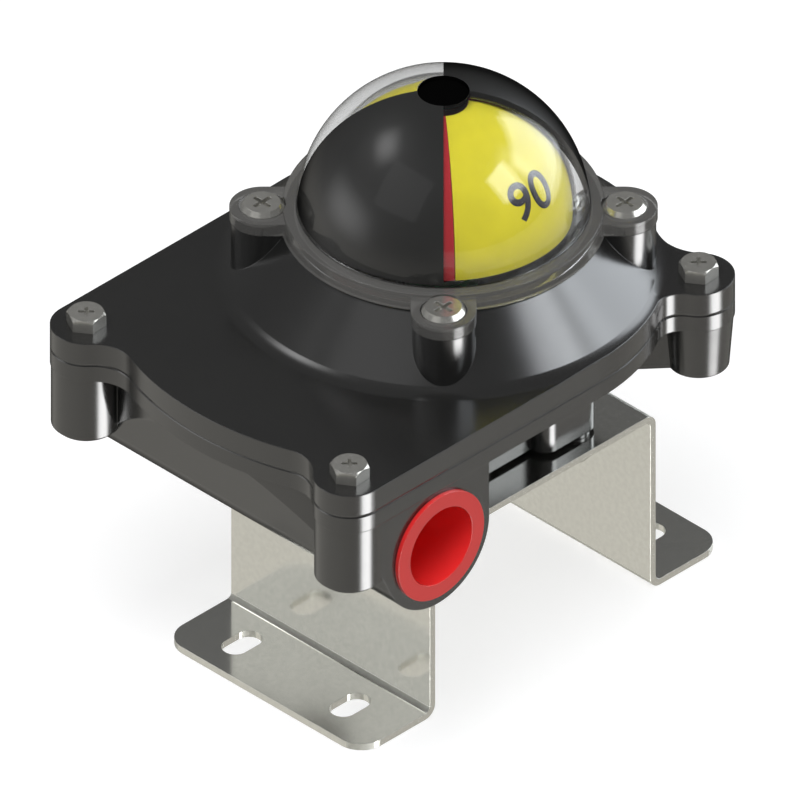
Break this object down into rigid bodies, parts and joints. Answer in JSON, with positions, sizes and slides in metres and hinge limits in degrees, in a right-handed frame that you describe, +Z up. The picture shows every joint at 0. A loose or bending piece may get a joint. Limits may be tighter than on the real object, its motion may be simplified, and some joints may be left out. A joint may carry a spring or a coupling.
{
  "type": "valve position indicator",
  "caption": "Cast limit switch box with a clear domed valve position indicator, plugged side cable entries and a tongued drive shaft, on a bent slotted bracket.",
  "frame": {"origin": "on the shaft axis, level with the undersides of the bracket feet", "axes": "+Z up along the shaft towards the dome; X runs along the box, away from the cable entries at +X; the cable entries look along +Y and -Y"},
  "size_m": [0.1204, 0.0886, 0.1213],
  "materials": {
    "stainless_sheet": "bright stainless sheet, fine grain",
    "steel_hardware": "stainless fasteners, satin",
    "black_casting": "die-cast, smooth black gloss coat",
    "clear_plastic": "clear moulded, polished",
    "black_gloss": "black film behind clear plastic",
    "black_disc": "matt black",
    "signal_yellow": "yellow moulding",
    "signal_red": "red moulding",
    "plug_red": "red gloss moulding",
    "black_rubber": "matt rubber",
    "turned_steel": "turned stainless",
    "bush_plastic": "tan bearing plastic",
    "white_plastic": "white nylon",
    "dark_plastic": "dark moulding",
    "green_plastic": "green nylon",
    "red_plastic": "red nylon",
    "brass": "plain brass",
    "grey_sheet": "pale insulating sheet",
    "green_metal": "green passivated screw"
  },
  "bodies": {
    "housing": {"mounting_bracket": "stainless_sheet", "bracket_screws": "steel_hardware", "bracket_washers": "steel_hardware", "housing_base": "black_casting", "housing_cover": "black_casting", "cover_gasket": "black_rubber", "cover_bolts": "steel_hardware", "clear_dome": "clear_plastic", "dome_mask": "black_gloss", "dome_cap": "black_disc", "dome_o_ring": "black_rubber", "dome_screws": "steel_hardware", "dust_plug_left": "plug_red", "dust_plug_right": "plug_red", "shaft_bushes": "bush_plastic", "thrust_washers": "bush_plastic", "switch_plate": "steel_hardware", "plate_screws": "steel_hardware", "switch_open": "dark_plastic", "switch_closed": "dark_plastic", "switch_insulator": "grey_sheet", "switch_screws": "steel_hardware", "switch_tags": "brass", "lever_pins": "steel_hardware", "terminal_block": "dark_plastic", "terminal_screws": "steel_hardware", "terminal_clamps": "brass", "terminal_block_screws": "steel_hardware", "earth_screw": "green_metal"},
    "spindle": {"shaft": "turned_steel", "shaft_o_rings": "black_rubber", "shaft_circlip": "steel_hardware", "cam_open": "green_plastic", "cam_closed": "red_plastic", "cam_spacer": "white_plastic", "cam_spring": "steel_hardware", "cam_circlip": "steel_hardware", "indicator_carrier": "dark_plastic", "indicator_yellow": "signal_yellow", "indicator_red": "signal_red", "indicator_screw": "steel_hardware"},
    "open_lever": {"lever_open": "steel_hardware", "roller_pin_open": "steel_hardware"},
    "closed_lever": {"lever_closed": "steel_hardware", "roller_pin_closed": "steel_hardware"},
    "open_roller": {"roller_open": "white_plastic"},
    "closed_roller": {"roller_closed": "white_plastic"},
    "open_plunger": {"plunger_open": "red_plastic"},
    "closed_plunger": {"plunger_closed": "red_plastic"}
  },
  "joints": [
    {"name": "shaft_turn", "type": "hinge", "parent": "housing", "child": "spindle", "pos_m": [0, 0, 0.043], "axis": [0, 0, 1], "range_deg": [-90, 0]},
    {"name": "open_lever_swing", "type": "hinge", "parent": "housing", "child": "open_lever", "pos_m": [-0.0152, 0.0133, 0.0761], "axis": [0, 0, 1], "range_deg": [-6.81, 0]},
    {"name": "closed_lever_swing", "type": "hinge", "parent": "housing", "child": "closed_lever", "pos_m": [-0.0152, 0.0133, 0.0831], "axis": [0, 0, 1], "range_deg": [0, 6.81]},
    {"name": "open_roller_roll", "type": "hinge", "parent": "open_lever", "child": "open_roller", "pos_m": [0, 0.0108, 0.0761], "axis": [0, 0, 1], "range_deg": [0, 346.6]},
    {"name": "closed_roller_roll", "type": "hinge", "parent": "closed_lever", "child": "closed_roller", "pos_m": [-0.0004, 0.00902, 0.0831], "axis": [0, 0, 1], "range_deg": [0, 346.6]},
    {"name": "open_plunger_slide", "type": "slide", "parent": "housing", "child": "open_plunger", "axis": [0, -1, 0], "range_m": [0, 0.000656]},
    {"name": "closed_plunger_slide", "type": "slide", "parent": "housing", "child": "closed_plunger", "axis": [0, 1, 0], "range_m": [0, 0.000656]}
  ],
  "couplings": [
    {"joint": "open_lever_swing", "follows": "shaft_turn", "ratio": 0.075567},
    {"joint": "closed_lever_swing", "follows": "shaft_turn", "ratio": -0.075567},
    {"joint": "open_roller_roll", "follows": "shaft_turn", "ratio": -3.85},
    {"joint": "closed_roller_roll", "follows": "shaft_turn", "ratio": -3.85},
    {"joint": "open_plunger_slide", "follows": "shaft_turn", "m_per_rad": -0.00041758},
    {"joint": "closed_plunger_slide", "follows": "shaft_turn", "m_per_rad": -0.00041758}
  ]
}
